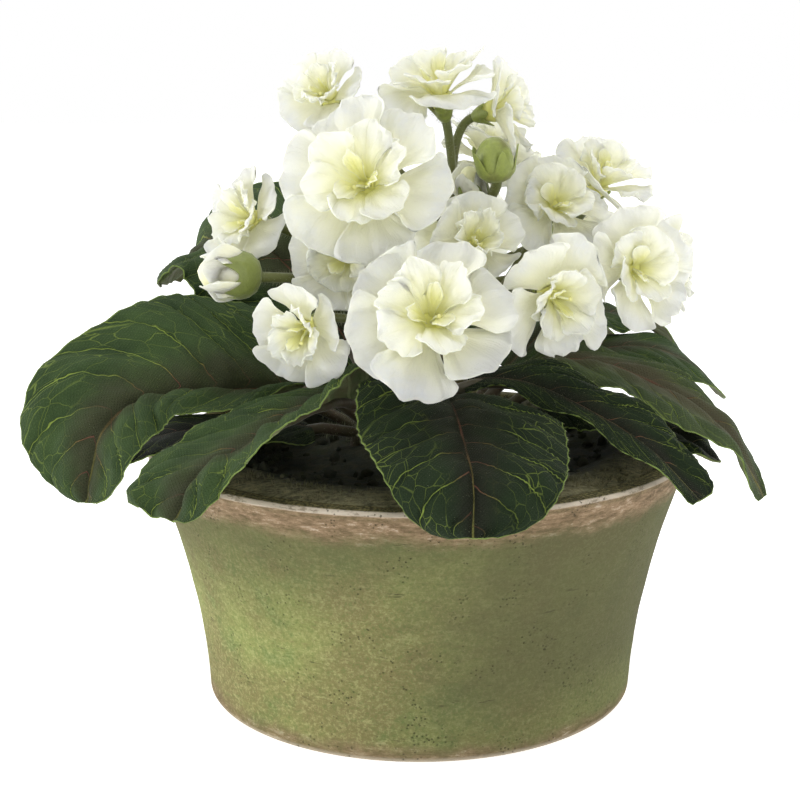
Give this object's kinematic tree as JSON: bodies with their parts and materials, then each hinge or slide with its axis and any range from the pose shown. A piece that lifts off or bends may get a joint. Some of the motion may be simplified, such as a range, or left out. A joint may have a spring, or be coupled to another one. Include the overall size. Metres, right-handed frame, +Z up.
{
  "type": "potted african violet",
  "caption": "Double-flowered african violet: a rosette of broad leaves and ruffled pale blooms on branching stalks, growing from soil in a low flared clay pan.",
  "frame": {"origin": "middle of the pot's flat underside", "axes": "+Z up through the plant, +X to the right seen from the front, -Y towards the front, where the largest blooms face"},
  "size_m": [0.1917, 0.175, 0.1765],
  "materials": {
    "mossy_clay": "unglazed clay with a green mossy bloom and a worn rim",
    "peat": "rough dark peat with moss",
    "leaf_green": "soft matt dark green with pale veins",
    "leaf_bronze": "soft matt bronze with a green edge",
    "stalk_green": "soft matt yellow-green",
    "petal_cream": "thin matt cream white with a yellow-green throat"
  },
  "bodies": {
    "root": {"pot": "mossy_clay", "soil": "peat", "leaf_left_large": "leaf_green", "leaf_left_back": "leaf_green", "leaf_left_front": "leaf_green", "leaf_front": "leaf_green", "leaf_right_front": "leaf_green", "leaf_right_bronze": "leaf_bronze", "leaf_right_low": "leaf_green", "leaf_right": "leaf_green", "leaf_right_back": "leaf_green", "leaf_left_low": "leaf_green", "leaf_left_middle": "leaf_green", "leaf_back_left": "leaf_green", "leaf_back": "leaf_green", "leaf_back_right": "leaf_green", "stalk_front": "stalk_green", "stalk_left": "stalk_green", "stalk_top": "stalk_green", "stalk_right": "stalk_green", "stalk_back": "stalk_green", "bloom_front": "petal_cream", "bloom_upper_left": "petal_cream", "bloom_top_left": "petal_cream", "bloom_top": "petal_cream", "bloom_top_right": "petal_cream", "bloom_left": "petal_cream", "bloom_left_middle": "petal_cream", "bloom_left_front": "petal_cream", "bloom_middle": "petal_cream", "bloom_right_front": "petal_cream", "bloom_right": "petal_cream", "bloom_right_upper": "petal_cream", "bloom_right_top": "petal_cream", "bloom_far_right": "petal_cream", "bloom_upper_back": "petal_cream", "bloom_back_right": "petal_cream", "bloom_back": "petal_cream", "bloom_back_left": "petal_cream", "bloom_back_upper": "petal_cream", "bud_middle_petals": "petal_cream", "bud_left_petals": "petal_cream"}
  },
  "joints": []
}
